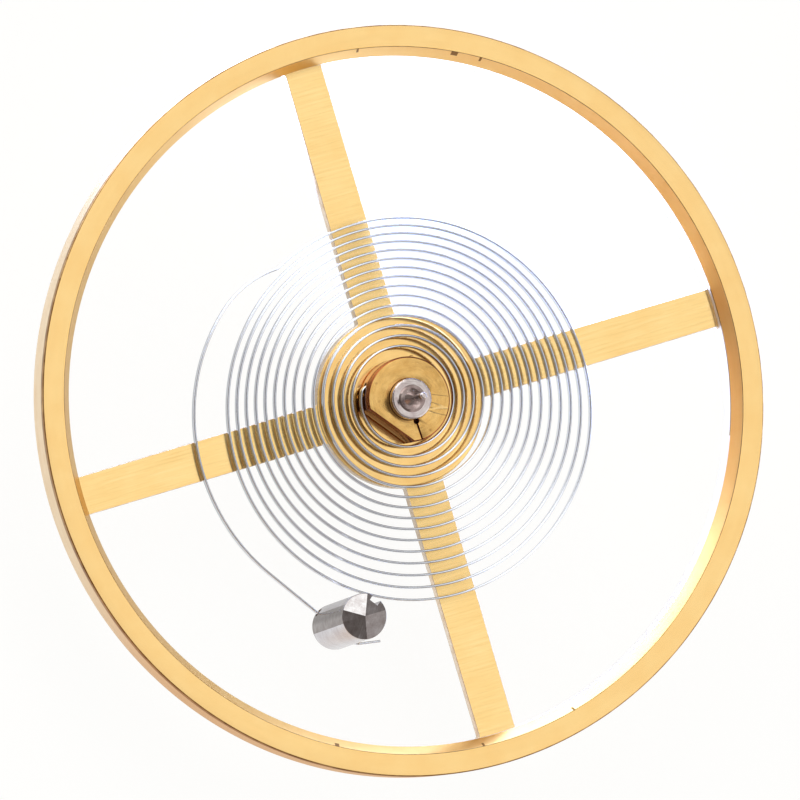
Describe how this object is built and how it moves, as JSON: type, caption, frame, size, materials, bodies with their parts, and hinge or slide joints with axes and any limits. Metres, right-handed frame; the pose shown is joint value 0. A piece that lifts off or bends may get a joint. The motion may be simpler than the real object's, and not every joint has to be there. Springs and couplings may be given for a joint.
{
  "type": "balance wheel",
  "caption": "Watch balance wheel with arms and smooth rim, on its staff with double roller, flat hairspring, split collet and stud.",
  "frame": {"origin": "tip of the lower pivot, on the axis of the staff", "axes": "+Z along the staff towards the upper pivot and the hairspring, +X along the middle of one arm, over the impulse jewel"},
  "size_m": [0.0094, 0.0094, 0.003],
  "materials": {
    "wheel_brass": "gilt, faces finely brushed, bevel polished",
    "collet_brass": "turned brass with fine scratches",
    "roller_brass": "polished brass",
    "pin_brass": "drawn brass wire",
    "staff_steel": "polished hardened steel",
    "stud_steel": "polished steel",
    "spring_alloy": "rolled, bright grey spring alloy",
    "jewel_ruby": "polished synthetic ruby"
  },
  "bodies": {
    "stud_body": {"stud": "stud_steel", "stud_pin": "pin_brass"},
    "balance": {"balance_wheel": "wheel_brass", "balance_staff": "staff_steel", "impulse_roller": "roller_brass", "impulse_jewel": "jewel_ruby", "safety_roller": "roller_brass", "hairspring": "spring_alloy", "collet": "collet_brass", "collet_pin": "pin_brass"}
  },
  "joints": [
    {"name": "balance_swing", "type": "hinge", "parent": "stud_body", "child": "balance", "pos_m": [0, 0, 0.00134], "axis": [0, 0, 1], "range_deg": [-300, 300], "stiffness_Nm_per_rad": 0.00000029, "deforming": ["hairspring"]}
  ]
}
